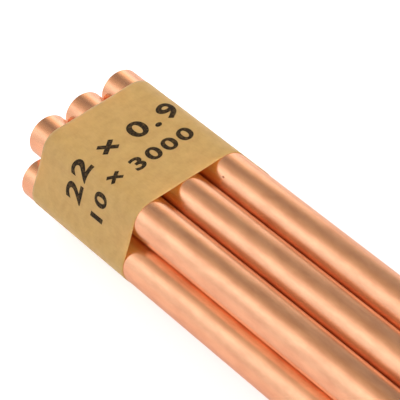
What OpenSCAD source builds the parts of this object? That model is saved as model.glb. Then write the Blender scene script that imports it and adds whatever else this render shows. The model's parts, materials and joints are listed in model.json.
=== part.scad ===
// A bundle of ten straight copper pipes, packed three over four over three,
// with a band of kraft paper wound round the pack near each end.
// The pipes lie along X. The origin is under the middle of the bundle,
// on the surface that the undersides of the two bands rest on.

/* [Pipe] */
// Outside diameter of a pipe
pipe_od = 22; // [12:0.5:54]
// Thickness of a pipe's wall
pipe_wall = 0.9; // [0.6:0.05:2]
// Length of a pipe
pipe_length = 3000; // [1000:10:6000]
// Chamfer that deburring leaves on the rims of a pipe's ends
rim_chamfer = 0.2; // [0.05:0.05:0.25]

/* [Pack] */
// Gap between a pipe and the next one
pipe_gap = 0.3; // [0.1:0.05:1]
// Share of the gap that the pull of the paper closes at the right end of the middle row
tuck_share = 0.8; // [0:0.1:0.8]
// How far the ends of the pipes stand in or out of line
end_stagger = 1.7; // [0.2:0.1:5]

/* [Paper band] */
// Width of the paper, along the pipes
band_width = 78; // [40:1:150]
// Thickness of the paper
paper_thickness = 0.2; // [0.1:0.05:0.6]
// Slack between the pipes and the paper
band_slack = 0.1; // [0.05:0.05:0.4]
// Distance from the mean line of the pipes' ends to the paper's edge
band_setback = 11.5; // [6:0.5:200]
// Angle that the glued lap turns round the pipe at each end of the side it closes
lap_wrap = 14; // [4:1:26]

/* [Hidden] */
$fn = 96;

ROW_NAMES = ["top", "middle", "bottom"];
ROW_COUNTS = [3, 4, 3];
// Share of end_stagger that each pipe is shifted along X, row by row
ROW_SHIFTS = [[-0.3, -0.8, -1], [1, 0.2, -0.5, 0.6], [-0.2, 0.7, 0.1]];
// Each pipe as its row and its place in that row, counted from the left
PIPES = [for (row = [0:len(ROW_COUNTS) - 1]) for (place = [0:ROW_COUNTS[row] - 1]) [row, place]];
PIPE_NODES = [for (pipe = PIPES) str(ROW_NAMES[pipe[0]], "_pipe_", pipe[1] + 1)];
BAND_NODES = ["left_paper_band", "right_paper_band"];

pipe_r = pipe_od / 2;
bore_r = pipe_r - pipe_wall;
pitch = pipe_od + pipe_gap;
row_rise = pitch * sqrt(3) / 2;
band_inner_r = pipe_r + band_slack;
band_outer_r = band_inner_r + paper_thickness;
lap_outer_r = band_outer_r + paper_thickness;
band_start_x = -pipe_length / 2 + band_setback;

// How far a pipe is tucked in towards its row: only the right one of the middle row is
function tuck(row, place) = row == 1 && place == ROW_COUNTS[row] - 1 ? tuck_share * pipe_gap : 0;

// Centre of a pipe in the pack's section, as Y and Z
function pipe_centre(row, place) = [
    (place - (ROW_COUNTS[row] - 1) / 2) * pitch - tuck(row, place),
    band_outer_r + (len(ROW_COUNTS) - 1 - row) * row_rise
];

// Centres of the pipes that the paper turns round, anticlockwise from the right end of the bottom row
CORNERS = [
    pipe_centre(2, 2),
    pipe_centre(1, 3),
    pipe_centre(0, 2),
    pipe_centre(0, 0),
    pipe_centre(1, 0),
    pipe_centre(2, 0)
];
CORNER_TURN = 360 / len(CORNERS);
// Flat steps that each turn of the paper is drawn with
ARC_STEPS = 16;

// Point at a distance from a centre, in the direction of an angle
function point_from(centre, distance, angle) = centre + distance * [cos(angle), sin(angle)];

// Direction that the paper's flat side faces after it has turned round a corner
function facing(corner) = -90 + (corner + 1) * CORNER_TURN;

// One pipe, with its bore and its deburred ends
module pipe(row, place) {
    centre = pipe_centre(row, place);
    start_x = -pipe_length / 2 + ROW_SHIFTS[row][place] * end_stagger;
    color([0.93, 0.60, 0.42])
    translate([start_x, centre[0], centre[1]])
    rotate([0, 90, 0])
    rotate_extrude()
    polygon([
        [bore_r, rim_chamfer],
        [bore_r + rim_chamfer, 0],
        [pipe_r - rim_chamfer, 0],
        [pipe_r, rim_chamfer],
        [pipe_r, pipe_length - rim_chamfer],
        [pipe_r - rim_chamfer, pipe_length],
        [bore_r + rim_chamfer, pipe_length],
        [bore_r, pipe_length - rim_chamfer]
    ]);
}

// Outline of a belt pulled tight round discs of one radius at the corners
module belt(radius) {
    polygon([
        for (corner = [0:len(CORNERS) - 1])
            for (step = [0:ARC_STEPS])
                point_from(CORNERS[corner], radius, facing(corner - 1) + step / ARC_STEPS * CORNER_TURN)
    ]);
}

// Area round the lower right side of the pack in which the paper lies double
module lap_area() {
    reach = 2 * lap_outer_r;
    polygon([
        CORNERS[0],
        point_from(CORNERS[0], reach, facing(0) - lap_wrap),
        point_from(CORNERS[1], reach, facing(0) + lap_wrap),
        CORNERS[1]
    ]);
}

// One paper band, pulled tight round the pack, its end glued down over its start
module band(start_x) {
    color([0.79, 0.64, 0.42])
    translate([start_x, 0, 0])
    rotate([90, 0, 90])
    linear_extrude(band_width)
    difference() {
        union() {
            belt(band_outer_r);
            intersection() {
                belt(lap_outer_r);
                lap_area();
            }
        }
        belt(band_inner_r);
    }
}

for (k = [0:len(PIPES) - 1])
    pipe(PIPES[k][0], PIPES[k][1]);
band(band_start_x);  // left_paper_band
band(-band_start_x - band_width);  // right_paper_band
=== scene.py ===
import json
import math

import bmesh
import bpy
from mathutils import Matrix, Vector, noise


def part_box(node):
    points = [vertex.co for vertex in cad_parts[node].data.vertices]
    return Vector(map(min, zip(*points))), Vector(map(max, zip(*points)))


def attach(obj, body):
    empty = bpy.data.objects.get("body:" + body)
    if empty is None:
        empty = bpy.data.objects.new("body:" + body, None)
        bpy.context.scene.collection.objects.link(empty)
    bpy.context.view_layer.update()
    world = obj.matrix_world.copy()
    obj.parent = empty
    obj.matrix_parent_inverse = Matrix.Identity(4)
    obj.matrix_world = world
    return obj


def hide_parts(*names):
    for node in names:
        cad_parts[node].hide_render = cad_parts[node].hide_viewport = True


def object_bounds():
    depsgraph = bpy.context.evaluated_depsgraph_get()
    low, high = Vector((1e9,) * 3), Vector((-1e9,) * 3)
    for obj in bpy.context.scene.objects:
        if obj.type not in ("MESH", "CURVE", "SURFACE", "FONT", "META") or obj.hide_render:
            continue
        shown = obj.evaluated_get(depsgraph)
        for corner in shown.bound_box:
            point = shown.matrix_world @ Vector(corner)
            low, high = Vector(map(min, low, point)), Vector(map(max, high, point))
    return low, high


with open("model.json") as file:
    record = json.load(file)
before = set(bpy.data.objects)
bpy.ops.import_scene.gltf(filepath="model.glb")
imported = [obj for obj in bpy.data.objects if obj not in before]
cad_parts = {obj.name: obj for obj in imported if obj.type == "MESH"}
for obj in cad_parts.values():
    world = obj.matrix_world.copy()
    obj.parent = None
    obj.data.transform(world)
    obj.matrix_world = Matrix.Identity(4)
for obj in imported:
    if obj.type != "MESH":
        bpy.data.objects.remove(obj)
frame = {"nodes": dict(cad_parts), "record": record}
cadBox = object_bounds()

# Bundle of drawn copper pipes under two bands of kraft paper.
# Metres throughout. X runs along the pipes, Z is up, and the photographed end is at low X.

# Mesh points closer than this count as one
samePoint = 0.000001


# sRGB hex such as C9A26B to a linear colour
def hexToLinear(hexText):
    channels = [int(hexText[k:k + 2], 16) / 255 for k in (0, 2, 4)]
    return [c / 12.92 if c <= 0.04045 else ((c + 0.055) / 1.055) ** 2.4 for c in channels] + [1.0]


def addNode(tree, kind, settings=None, links=None):
    node = tree.nodes.new(kind)
    for name, value in (settings or {}).items():
        if isinstance(name, str) and hasattr(node, name):
            setattr(node, name, value)
        else:
            node.inputs[name].default_value = value
    for name, source in (links or {}).items():
        tree.links.new(source, node.inputs[name])
    return node


def newMaterial(name):
    material = bpy.data.materials.new(name)
    material.use_nodes = True
    material.node_tree.nodes.clear()
    return material, material.node_tree


def addPiece(name, bm, material):
    mesh = bpy.data.meshes.new(name)
    bm.to_mesh(mesh)
    bm.free()
    mesh.materials.append(material)
    piece = bpy.data.objects.new(name, mesh)
    bpy.context.scene.collection.objects.link(piece)
    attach(piece, "root")
    return piece


def smoothStep(low, high, value):
    t = min(max((value - low) / (high - low), 0.0), 1.0)
    return t * t * (3 - 2 * t)


# Copper

copperSettings = {
    "tarnishLength": 0.016, "tarnishWidth": 0.005,      # faint clouds that handling leaves
    "drawLinePitch": 0.0009, "drawLineLength": 0.3,     # the die's lines, as coarse as they need to show
    "drawLineDepth": 0.0000015,
    "outside": {
        "name": "bright_drawn_copper", "colour": "F6C19F", "tarnish": "E6AE8E", "metallic": 1.0,
        "roughness": 0.25, "roughnessSpread": 0.02,     # wiped clean
        "anisotropy": 0.8,      # the lengthwise lines spread a reflection round the pipe
    },
    "bore": {
        "name": "dull_drawn_copper", "colour": "E39E76", "tarnish": "BE7A57", "metallic": 0.5,
        "roughness": 0.6, "roughnessSpread": 0.05,      # a dull film covers half of the metal
        "anisotropy": 0.0,
    },
}

# A nick in the wall of one pipe, beside the paper
nickSettings = {
    "node": "top_pipe_3", "x": -1.4020, "angle": math.radians(-44),     # from straight up
    "length": 0.0016, "width": 0.0009, "depth": 0.00012,
    "hollow": (0.2, 1.3), "darkSpot": (0.6, 1.1),      # where each starts to fade and is gone, in half sizes; the second is the spot where the colour turns darker
    "colour": "A8705A",
    "ringCuts": 6, "faceCuts": 3, "finerReach": 1.2,
}


# Low and high corners of a pipe's box, and its middle
def pipeBox(node):
    low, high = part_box(node)
    return low, high, (low + high) / 2


def nickPlace():
    s = nickSettings
    low, high, middle = pipeBox(s["node"])
    outward = Vector((0, math.sin(s["angle"]), math.cos(s["angle"])))
    return Vector((s["x"], middle.y, middle.z)) + outward * (high.z - low.z) / 2, outward


# Colour turned darker in the nick
def darkenNick(tree, coords, colour):
    s = nickSettings
    place, outward = nickPlace()
    fromNick = addNode(tree, "ShaderNodeVectorMath", {"operation": "SUBTRACT", 1: place}, {0: coords})
    halves = (2 / s["length"], 2 / s["width"], 2 / s["width"])
    shares = addNode(tree, "ShaderNodeVectorMath", {"operation": "MULTIPLY", 1: halves},
                     {0: fromNick.outputs["Vector"]})
    away = addNode(tree, "ShaderNodeVectorMath", {"operation": "LENGTH"}, {0: shares.outputs["Vector"]})
    inNick = addNode(tree, "ShaderNodeMapRange", {"From Min": s["darkSpot"][1], "From Max": s["darkSpot"][0]},
                     {"Value": away.outputs["Value"]})
    spot = addNode(tree, "ShaderNodeMix", {"data_type": "RGBA", 7: hexToLinear(s["colour"])},
                   {0: inNick.outputs["Result"], 6: colour})
    return spot.outputs[2]


def makeCopper(side):
    # Drawn copper: a bright, soft mirror with faint lengthwise lines from the die, and duller in the bore
    s = {**copperSettings, **copperSettings[side]}
    material, tree = newMaterial(s["name"])
    coords = addNode(tree, "ShaderNodeTexCoord")
    along, across = 1 / s["drawLineLength"], 1 / s["drawLinePitch"]
    drawn = addNode(tree, "ShaderNodeMapping", {"Scale": (along, across, across)},
                    {"Vector": coords.outputs["Object"]})
    lines = addNode(tree, "ShaderNodeTexNoise", {"Scale": 1.0, "Detail": 3.0, "Roughness": 0.6},
                    {"Vector": drawn.outputs["Vector"]})
    spread = addNode(tree, "ShaderNodeMapRange", {
        "From Min": 0.3, "From Max": 0.7,
        "To Min": s["roughness"] - s["roughnessSpread"], "To Max": s["roughness"] + s["roughnessSpread"]},
        {"Value": lines.outputs["Fac"]})
    bump = addNode(tree, "ShaderNodeBump", {"Strength": 1.0, "Distance": s["drawLineDepth"]},
                   {"Height": lines.outputs["Fac"]})
    along, across = 1 / s["tarnishLength"], 1 / s["tarnishWidth"]
    handled = addNode(tree, "ShaderNodeMapping", {"Scale": (along, across, across)},
                      {"Vector": coords.outputs["Object"]})
    clouds = addNode(tree, "ShaderNodeTexNoise", {"Scale": 1.0, "Detail": 5.0, "Roughness": 0.6},
                     {"Vector": handled.outputs["Vector"]})
    amount = addNode(tree, "ShaderNodeMapRange", {"From Min": 0.35, "From Max": 0.7},
                     {"Value": clouds.outputs["Fac"]})
    tone = addNode(tree, "ShaderNodeMix", {
        "data_type": "RGBA", 6: hexToLinear(s["colour"]), 7: hexToLinear(s["tarnish"])},
        {0: amount.outputs["Result"]})
    colour = tone.outputs[2]
    if side == "outside":
        colour = darkenNick(tree, coords.outputs["Object"], colour)
    roundPipe = addNode(tree, "ShaderNodeTangent", {"direction_type": "RADIAL", "axis": "X"})
    shader = addNode(tree, "ShaderNodeBsdfPrincipled", {
        "Metallic": s["metallic"], "Anisotropic": s["anisotropy"]}, {
        "Base Color": colour, "Roughness": spread.outputs["Result"],
        "Normal": bump.outputs["Normal"], "Tangent": roundPipe.outputs["Tangent"]})
    addNode(tree, "ShaderNodeOutputMaterial", links={"Surface": shader.outputs["BSDF"]})
    return material


# Kraft paper

kraftSettings = {
    "light": "D2A96A", "dark": "BE9657",
    "cloudSize": 0.006, "fibreLength": 0.004, "fibreWidth": 0.0008, "fibreShare": 0.6,
    "fibreDepth": 0.00002,
    "roughness": 0.6,
    "sheen": 0.15, "sheenRoughness": 0.4,
    "glowThrough": 1.0, "glowDepth": (0.0012, 0.0012, 0.001),       # light that comes through one sheet
}


def makeKraft():
    # Brown kraft paper: matt and cloudy, pale fuzz at a low angle, and thin enough to let some light through
    s = kraftSettings
    material, tree = newMaterial("brown_kraft_paper")
    coords = addNode(tree, "ShaderNodeTexCoord")
    cloud = addNode(tree, "ShaderNodeTexNoise", {
        "Scale": 1 / s["cloudSize"], "Detail": 4.0, "Roughness": 0.55}, {"Vector": coords.outputs["UV"]})
    laid = addNode(tree, "ShaderNodeMapping", {"Scale": (1 / s["fibreWidth"], 1 / s["fibreLength"], 1.0)},
                   {"Vector": coords.outputs["UV"]})
    fibre = addNode(tree, "ShaderNodeTexNoise", {"Scale": 1.0, "Detail": 5.0, "Roughness": 0.65},
                    {"Vector": laid.outputs["Vector"]})
    both = addNode(tree, "ShaderNodeMath", {"operation": "MULTIPLY_ADD", 1: s["fibreShare"]},
                   {0: fibre.outputs["Fac"], 2: cloud.outputs["Fac"]})
    tone = addNode(tree, "ShaderNodeMapRange", {"From Min": 0.5, "From Max": 1.1},
                   {"Value": both.outputs["Value"]})
    colour = addNode(tree, "ShaderNodeMix", {
        "data_type": "RGBA", 6: hexToLinear(s["dark"]), 7: hexToLinear(s["light"])},
        {0: tone.outputs["Result"]})
    bump = addNode(tree, "ShaderNodeBump", {"Strength": 1.0, "Distance": s["fibreDepth"]},
                   {"Height": both.outputs["Value"]})
    shader = addNode(tree, "ShaderNodeBsdfPrincipled", {
        "Roughness": s["roughness"], "Sheen Weight": s["sheen"], "Sheen Roughness": s["sheenRoughness"],
        "Subsurface Weight": s["glowThrough"], "Subsurface Radius": s["glowDepth"],
        "Subsurface Scale": 1.0},
        {"Base Color": colour.outputs[2], "Normal": bump.outputs["Normal"]})
    addNode(tree, "ShaderNodeOutputMaterial", links={"Surface": shader.outputs["BSDF"]})
    return material


inkSettings = {"colour": "1C1307", "worn": "5A4527", "roughness": 0.7, "gloss": 0.2, "wearSize": 0.0012}


def makeInk():
    # Black printing ink that has sunk into rough paper: matt, and browner where it is thin
    s = inkSettings
    material, tree = newMaterial("black_printing_ink")
    coords = addNode(tree, "ShaderNodeTexCoord")
    wear = addNode(tree, "ShaderNodeTexNoise", {"Scale": 1 / s["wearSize"], "Detail": 3.0},
                   {"Vector": coords.outputs["Object"]})
    amount = addNode(tree, "ShaderNodeMapRange", {"From Min": 0.45, "From Max": 0.75},
                     {"Value": wear.outputs["Fac"]})
    colour = addNode(tree, "ShaderNodeMix", {
        "data_type": "RGBA", 6: hexToLinear(s["colour"]), 7: hexToLinear(s["worn"])},
        {0: amount.outputs["Result"]})
    shader = addNode(tree, "ShaderNodeBsdfPrincipled", {
        "Roughness": s["roughness"], "Specular IOR Level": s["gloss"]}, {"Base Color": colour.outputs[2]})
    addNode(tree, "ShaderNodeOutputMaterial", links={"Surface": shader.outputs["BSDF"]})
    return material


# Pipes

pipeSettings = {"turnSteps": 144, "sharpFrom": math.radians(30)}
boreMounts = {m["name"]: m["dims"] for m in frame["record"]["mounts"] if m["kind"] == "bore"}


def makePipe(node, outside, inside):
    s = pipeSettings
    low, high, middle = pipeBox(node)
    outer = (high.z - low.z) / 2
    mount = boreMounts[node + "_bore"]      # in millimetres
    bore = mount["r_mm"] / 1000
    chamfer = (high.x - low.x - mount["length_mm"] / 1000) / 2
    profile = [
        (low.x, bore + chamfer), (low.x, outer - chamfer), (low.x + chamfer, outer),
        (high.x - chamfer, outer), (high.x, outer - chamfer), (high.x, bore + chamfer),
        (high.x - chamfer, bore), (low.x + chamfer, bore)]
    bm = bmesh.new()
    verts = [bm.verts.new((x, middle.y, middle.z + r)) for x, r in profile]
    edges = [bm.edges.new((verts[k - 1], verts[k])) for k in range(len(verts))]
    bmesh.ops.spin(bm, geom=verts + edges, cent=middle, axis=(1, 0, 0), dvec=(0, 0, 0),
                   angle=2 * math.pi, steps=s["turnSteps"], use_merge=True)
    bmesh.ops.remove_doubles(bm, verts=bm.verts, dist=samePoint)
    bmesh.ops.recalc_face_normals(bm, faces=bm.faces)
    if node == nickSettings["node"]:
        pressNick(bm)
    for edge in bm.edges:
        edge.smooth = edge.calc_face_angle(0) < s["sharpFrom"]
    for face in bm.faces:
        face.smooth = True
        # the faces of the bore lie nearer to the axis than its chamfers do
        fromAxis = (face.calc_center_median() - middle).yz.length
        face.material_index = int(fromAxis < bore + chamfer / 4)
    pipe = addPiece(node + "_drawn", bm, outside)
    pipe.data.materials.append(inside)
    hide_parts(node)


# Finer faces round the nick's place, then its hollow
def pressNick(bm):
    s = nickSettings
    place, outward = nickPlace()
    for k in range(-s["ringCuts"], s["ringCuts"] + 1):
        cut = place + Vector((k * s["length"] / s["ringCuts"], 0, 0))
        bmesh.ops.bisect_plane(bm, geom=bm.verts[:] + bm.edges[:] + bm.faces[:], dist=samePoint,
                               plane_co=cut, plane_no=(1, 0, 0))
    reach = s["finerReach"] * s["length"]
    near = {v for v in bm.verts if (v.co - place).length < reach}
    beside = {v for v in near if (v.co - place).dot(outward) > -s["width"] / 2}
    finer = [e for e in bm.edges if all(v in beside for v in e.verts)]
    bmesh.ops.subdivide_edges(bm, edges=finer, cuts=s["faceCuts"], use_grid_fill=True)
    for vert in bm.verts:
        away = vert.co - place
        if away.dot(outward) < -s["width"] / 2:
            continue
        around = (away - Vector((away.x, 0, 0))).length
        share = math.hypot(away.x / (s["length"] / 2), around / (s["width"] / 2))
        vert.co -= outward * s["depth"] * (1 - smoothStep(*s["hollow"], share))


# Paper bands

bandSettings = {
    # the pipes that the paper turns round, anticlockwise as seen from high X
    "cornerPipes": [
        "bottom_pipe_3", "middle_pipe_4", "top_pipe_3",
        "top_pipe_1", "middle_pipe_1", "bottom_pipe_1",
    ],
    "thickness": 0.0002, "inkRoom": 0.00005,        # so that the ink too stays inside the solid band's box
    # how far the glued lap turns round the pipes at its ends, and the way in which it climbs over the sheet
    "lapWrap": math.radians(14), "lapRise": 0.0015,
    "gridAround": 0.001, "gridAlong": 0.002,
    "sag": 0.00015, "unevenness": 0.00015, "unevenSize": 0.014,     # dips between pipes, and how they vary
}


# Path of the paper round the pack: arcs round the six corner pipes, with flats between them
class PackOutline:
    def __init__(self, s):
        low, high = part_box(s["cornerPipes"][0])
        diameter = high.z - low.z
        room = low.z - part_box("left_paper_band")[0].z
        self.radius = diameter / 2 + room - s["inkRoom"] - s["thickness"] / 2
        self.centres = [pipeBox(node)[2].yz for node in s["cornerPipes"]]
        self.turn = 2 * math.pi / len(self.centres)
        self.arc = self.radius * self.turn
        sides = [after - centre for centre, after in zip(self.centres, self.centres[1:] + self.centres[:1])]
        self.forwards = [side.normalized() for side in sides]
        self.flats = [side.length for side in sides]
        self.spans = [round(flat / diameter) for flat in self.flats]
        self.around = len(self.centres) * self.arc + sum(self.flats)
        # the middle of the top lies half a flat past the third arc
        self.crown = 3 * self.arc + self.flats[0] + self.flats[1] + self.flats[2] / 2

    # Point and outward direction at a distance round the outline,
    # and the way gone along a flat, counted in spans from pipe to pipe
    def at(self, distance):
        rest = distance % self.around
        for k, centre in enumerate(self.centres):
            start = -math.pi / 2 + k * self.turn
            if rest < self.arc:
                angle = start + rest / self.radius
                outward = Vector((math.cos(angle), math.sin(angle)))
                return centre + outward * self.radius, outward, 0.0
            rest -= self.arc
            if rest < self.flats[k]:
                angle = start + self.turn
                outward = Vector((math.cos(angle), math.sin(angle)))
                point = centre + outward * self.radius + self.forwards[k] * rest
                return point, outward, rest / self.flats[k] * self.spans[k]
            rest -= self.flats[k]
        raise ValueError("distance lies past the outline")


outline = PackOutline(bandSettings)
# The strip starts a little before the first flat, and its lap ends a little after it
lapStart = outline.radius * (outline.turn - bandSettings["lapWrap"])
stripLength = outline.around + outline.flats[0] + 2 * bandSettings["lapWrap"] * outline.radius
stripColumns = round(stripLength / bandSettings["gridAround"])


# Winds a flat strip, u along X and v along Y, round the pack. Height over the sheet stays height.
# The sheet dips a little between one pipe and the next, and climbs over its own start at the lap.
def layOnPack(bm, lowX, lift=0.0):
    s = bandSettings
    for vert in bm.verts:
        u, v, height = vert.co
        point, outward, gone = outline.at(lapStart + u)
        uneven = noise.noise(Vector((u + lapStart, v, lowX)) / s["unevenSize"]) * 0.5 + 0.5
        dip = math.sin(math.pi * gone) ** 2 * (s["sag"] + uneven * s["unevenness"])
        over = s["thickness"] * smoothStep(outline.around - s["lapRise"], outline.around, u)
        place = point + outward * (height + lift + over - dip)
        vert.co = (lowX + v, place.x, place.y)


def makeBand(node, material):
    s = bandSettings
    low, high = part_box(node)
    width = high.x - low.x
    bm = bmesh.new()
    bmesh.ops.create_grid(bm, x_segments=stripColumns, y_segments=round(width / s["gridAlong"]), size=0.5)
    bmesh.ops.scale(bm, vec=(stripLength, width, 1), verts=bm.verts)
    bmesh.ops.translate(bm, vec=(stripLength / 2, width / 2, 0), verts=bm.verts)
    uvLayer = bm.loops.layers.uv.new("sheet")
    for face in bm.faces:
        face.smooth = True
        for loop in face.loops:
            loop[uvLayer].uv = loop.vert.co.xy
    layOnPack(bm, low.x)
    band = addPiece(node + "_kraft", bm, material)
    bothFaces = band.modifiers.new("paperThickness", "SOLIDIFY")
    bothFaces.thickness = s["thickness"]
    bothFaces.offset = 0.0
    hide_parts(node)
    print("band", node, "strip", round(stripLength, 4), "x", round(width, 4), "m")


# Print on the photographed band

printSettings = {
    "band": "left_paper_band",
    "gap": 0.000004, "inkThickness": 0.00003,
    # height of the figures, length of the line, its middle left of the crown, its base from the far edge
    "lines": [
        {"text": "22 × 0.9", "height": 0.0133, "length": 0.0750, "left": 0.0096, "base": 0.0371},
        {"text": "10 × 3000", "height": 0.0100, "length": 0.0695, "left": 0.0123, "base": 0.0558},
    ],
    # bold outlines in finer steps cross themselves, so the coarse ones are rounded afterwards
    "boldness": 0.03, "curveSteps": 4, "roundings": 2, "sharpFrom": math.radians(40),
    "letterSpacing": 1.2, "wordSpacing": 0.5,
    "joinWithin": 0.00001,      # for points of the flat figures, and for their cuts
}


# Angle by which an outline turns at one of its points
def turnAt(vert):
    back, forward = (edge.other_vert(vert).co - vert.co for edge in vert.link_edges)
    return math.pi - back.angle(forward)


# Rounds the curves of flat figures and leaves their corners, by cutting and smoothing their outlines
def roundFigures(bm):
    s = printSettings
    inner = [e for e in bm.edges if not e.is_boundary]
    bmesh.ops.delete(bm, geom=bm.faces[:], context="FACES_ONLY")
    bmesh.ops.delete(bm, geom=inner, context="EDGES")
    for _ in range(s["roundings"]):
        halved = bmesh.ops.subdivide_edges(bm, edges=bm.edges[:], cuts=1)
        halfway = set(halved["geom_inner"])
        curved = [v for v in bm.verts if v not in halfway and turnAt(v) < s["sharpFrom"]]
        bmesh.ops.smooth_vert(bm, verts=curved, factor=0.5,
                              use_axis_x=True, use_axis_y=True, use_axis_z=True)
    bmesh.ops.triangle_fill(bm, edges=bm.edges[:], use_beauty=True, normal=(0, 0, 1))


def makePrint(line, number, material):
    s = printSettings
    curve = bpy.data.curves.new("figures", "FONT")
    curve.body = line["text"]
    curve.offset = s["boldness"]
    curve.space_character = s["letterSpacing"]
    curve.space_word = s["wordSpacing"]
    curve.resolution_u = s["curveSteps"]
    holder = bpy.data.objects.new("figures", curve)
    bpy.context.scene.collection.objects.link(holder)
    bpy.context.view_layer.update()
    flat = bpy.data.meshes.new_from_object(holder)
    bpy.data.objects.remove(holder)
    bm = bmesh.new()
    bm.from_mesh(flat)
    bmesh.ops.remove_doubles(bm, verts=bm.verts, dist=s["joinWithin"])
    roundFigures(bm)
    xs = [v.co.x for v in bm.verts]
    ys = [v.co.y for v in bm.verts]
    stretch = line["length"] / (max(xs) - min(xs))
    grow = line["height"] / (max(ys) - min(ys))
    bmesh.ops.translate(bm, vec=(-(max(xs) + min(xs)) / 2, -min(ys), 0), verts=bm.verts)
    bmesh.ops.scale(bm, vec=(stretch, grow, 1), verts=bm.verts)
    # the line reads to the right over the top, and the strip is wound to the left
    middle = outline.crown - lapStart + line["left"]
    bmesh.ops.rotate(bm, cent=(0, 0, 0), matrix=Matrix.Rotation(math.pi, 3, "Z"), verts=bm.verts)
    bmesh.ops.translate(bm, vec=(middle, line["base"], 0), verts=bm.verts)
    # cut where the paper's own columns of faces end, so that both bend alike
    column = stripLength / stripColumns
    first = math.ceil((middle - line["length"] / 2) / column)
    last = math.floor((middle + line["length"] / 2) / column)
    for k in range(first, last + 1):
        bmesh.ops.bisect_plane(bm, geom=bm.verts[:] + bm.edges[:] + bm.faces[:], dist=s["joinWithin"],
                               plane_co=(k * column, 0, 0), plane_no=(1, 0, 0))
    bmesh.ops.solidify(bm, geom=bm.faces[:], thickness=s["inkThickness"])
    bottom = min(v.co.z for v in bm.verts)
    layOnPack(bm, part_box(s["band"])[0].x, bandSettings["thickness"] / 2 + s["gap"] - bottom)
    addPiece("printed_figures_%d" % number, bm, material)


# Build

copper = makeCopper("outside")
boreCopper = makeCopper("bore")
kraft = makeKraft()
ink = makeInk()
pipeNodes = [name for name in frame["nodes"] if "_pipe_" in name]
bandNodes = [name for name in frame["nodes"] if "_band" in name]
for node in pipeNodes:
    makePipe(node, copper, boreCopper)
print("pipes made:", len(pipeNodes))
for node in bandNodes:
    makeBand(node, kraft)
for number, line in enumerate(printSettings["lines"], 1):
    makePrint(line, number, ink)
print("bands and print made")


# Studio

worldSettings = {
    # angle round the pipes from straight up, in degrees, and the brightness and warmth of what lies there
    "ring": [
        (-180, 1.0, 0.0), (-90, 0.8, 0.1), (-70, 0.9, 0.1), (-60, 1.15, 0.05),
        (-45, 1.7, 0.05), (-35, 1.3, 0.15), (-25, 0.6, 0.3), (-10, 0.4, 0.35),
        (10, 0.35, 0.15), (25, 0.2, 0.1), (40, 0.4, 0.2), (50, 0.85, 0.3),
        (60, 1.3, 0.4), (80, 2.05, -0.05), (90, 0.85, 0.05), (180, 1.0, 0.0),
    ],
    # the dim gap between the two bright sides turns and widens where a direction runs less along the pipes
    "gapMiddle": math.radians(11), "gapTurn": math.radians(32), "gapWidening": 0.35,
    "askewFrom": 0.675, "askewTo": 0.615, "askewRange": (-0.15, 1.15),
}


# Soft light from all round, in bright and dim bands along the pipes, for bright copper shows what it mirrors
def makeWorld():
    s = worldSettings
    world = bpy.data.worlds.new("soft_studio")
    world.use_nodes = True
    tree = world.node_tree
    tree.nodes.clear()
    coords = addNode(tree, "ShaderNodeTexCoord")
    axes = addNode(tree, "ShaderNodeSeparateXYZ", links={"Vector": coords.outputs["Generated"]})
    along = addNode(tree, "ShaderNodeMath", {"operation": "ABSOLUTE"}, {0: axes.outputs["X"]})
    askew = addNode(tree, "ShaderNodeMapRange", {
        "From Min": s["askewFrom"], "From Max": s["askewTo"],
        "To Min": s["askewRange"][0], "To Max": s["askewRange"][1]}, {"Value": along.outputs["Value"]})
    angle = addNode(tree, "ShaderNodeMath", {"operation": "ARCTAN2"},
                    {0: axes.outputs["Y"], 1: axes.outputs["Z"]})
    fromMiddle = addNode(tree, "ShaderNodeMath", {"operation": "SUBTRACT", 1: s["gapMiddle"]},
                         {0: angle.outputs["Value"]})
    turned = addNode(tree, "ShaderNodeMath", {"operation": "MULTIPLY_ADD", 1: -s["gapTurn"]},
                     {0: askew.outputs["Result"], 2: fromMiddle.outputs["Value"]})
    width = addNode(tree, "ShaderNodeMath", {"operation": "MULTIPLY_ADD", 1: s["gapWidening"], 2: 1.0},
                    {0: askew.outputs["Result"]})
    narrowed = addNode(tree, "ShaderNodeMath", {"operation": "DIVIDE"},
                       {0: turned.outputs["Value"], 1: width.outputs["Value"]})
    turn = addNode(tree, "ShaderNodeMapRange", {
        "From Min": -math.pi - s["gapMiddle"], "From Max": math.pi - s["gapMiddle"]},
        {"Value": narrowed.outputs["Value"]})
    ring = addNode(tree, "ShaderNodeValToRGB", links={"Fac": turn.outputs["Result"]})
    ramp = ring.color_ramp
    ramp.interpolation = "EASE"
    while len(ramp.elements) < len(s["ring"]):
        ramp.elements.new(0.5)
    for element, (degrees, level, warmth) in zip(ramp.elements, s["ring"]):
        element.position = (degrees + 180) / 360
        element.color = (level * (1 + warmth), level, level * (1 - warmth), 1)
    # the camera sees plain white behind the floor
    rays = addNode(tree, "ShaderNodeLightPath")
    sky = addNode(tree, "ShaderNodeMix", {"data_type": "RGBA", 7: (1, 1, 1, 1)},
                  {0: rays.outputs["Is Camera Ray"], 6: ring.outputs["Color"]})
    shader = addNode(tree, "ShaderNodeBackground", links={"Color": sky.outputs[2]})
    addNode(tree, "ShaderNodeOutputWorld", links={"Surface": shader.outputs["Background"]})
    bpy.context.scene.world = world


keySettings = {"strength": 1.3, "angle": math.radians(60), "from": (0.4, 0.55, 0.75)}


# Wide sun that gives the paper its light side and the pack a faint shadow
def makeKey():
    s = keySettings
    data = bpy.data.lights.new("soft_key", "SUN")
    data.energy = s["strength"]
    data.angle = s["angle"]
    key = bpy.data.objects.new("soft_key", data)
    bpy.context.scene.collection.objects.link(key)
    key.rotation_mode = "QUATERNION"
    key.rotation_quaternion = Vector(s["from"]).to_track_quat("Z", "Y")


floorSettings = {
    "size": 60.0, "below": 0.0002,      # clear of the paper that rests on it
    "colour": "E6EAF4", "glow": 0.5,
    "paintedReflection": "F5E8E7",       # painted reflection: what the pipes reflect of it, painted warmer to stand in for the light they throw back on it
}


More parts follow.
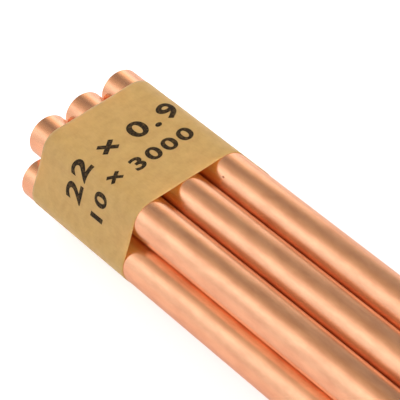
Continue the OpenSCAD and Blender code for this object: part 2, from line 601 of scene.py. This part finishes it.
def makeFloor():
    # Matt pale board that glows for the camera alone, so that it shows as white and keeps the pack's shadow
    s = floorSettings
    material, tree = newMaterial("pale_studio_floor")
    rays = addNode(tree, "ShaderNodeLightPath")
    glow = addNode(tree, "ShaderNodeMath", {"operation": "MULTIPLY", 1: s["glow"]},
                   {0: rays.outputs["Is Camera Ray"]})
    # painted reflection: glossy rays alone see the floor in this warmer colour
    colour = addNode(tree, "ShaderNodeMix", {
        "data_type": "RGBA", 6: hexToLinear(s["colour"]), 7: hexToLinear(s["paintedReflection"])},
        {0: rays.outputs["Is Glossy Ray"]})
    shader = addNode(tree, "ShaderNodeBsdfPrincipled", {
        "Roughness": 1.0, "Specular IOR Level": 0.0, "Emission Color": (1, 1, 1, 1)},
        {"Base Color": colour.outputs[2], "Emission Strength": glow.outputs["Value"]})
    addNode(tree, "ShaderNodeOutputMaterial", links={"Surface": shader.outputs["BSDF"]})
    bm = bmesh.new()
    bmesh.ops.create_grid(bm, x_segments=1, y_segments=1, size=s["size"] / 2)
    mesh = bpy.data.meshes.new("studio_floor")
    bm.to_mesh(mesh)
    bm.free()
    mesh.materials.append(material)
    floor = bpy.data.objects.new("studio_floor", mesh)
    floor.location.z = cadBox[0][2] - s["below"]
    bpy.context.scene.collection.objects.link(floor)


cameraSettings = {
    "place": (-0.4352, -0.4961, 1.0022), "target": (-1.3938, -0.0043, 0.0613),
    "roll": math.radians(-13.64), "lens": 276.1, "sensor": 36.0, "clipEnd": 200.0,
}


def makeCamera():
    s = cameraSettings
    data = bpy.data.cameras.new("camera")
    data.lens = s["lens"]
    data.sensor_width = s["sensor"]
    data.clip_end = s["clipEnd"]
    camera = bpy.data.objects.new("camera", data)
    bpy.context.scene.collection.objects.link(camera)
    place, target = Vector(s["place"]), Vector(s["target"])
    aim = (target - place).to_track_quat("-Z", "Y").to_matrix()
    aim = aim @ Matrix.Rotation(s["roll"], 3, "Z")
    camera.matrix_world = Matrix.Translation(place) @ aim.to_4x4()
    bpy.context.scene.camera = camera


makeWorld()
makeKey()
makeFloor()
makeCamera()
bpy.context.scene.view_settings.view_transform = "Standard"
print("studio made")
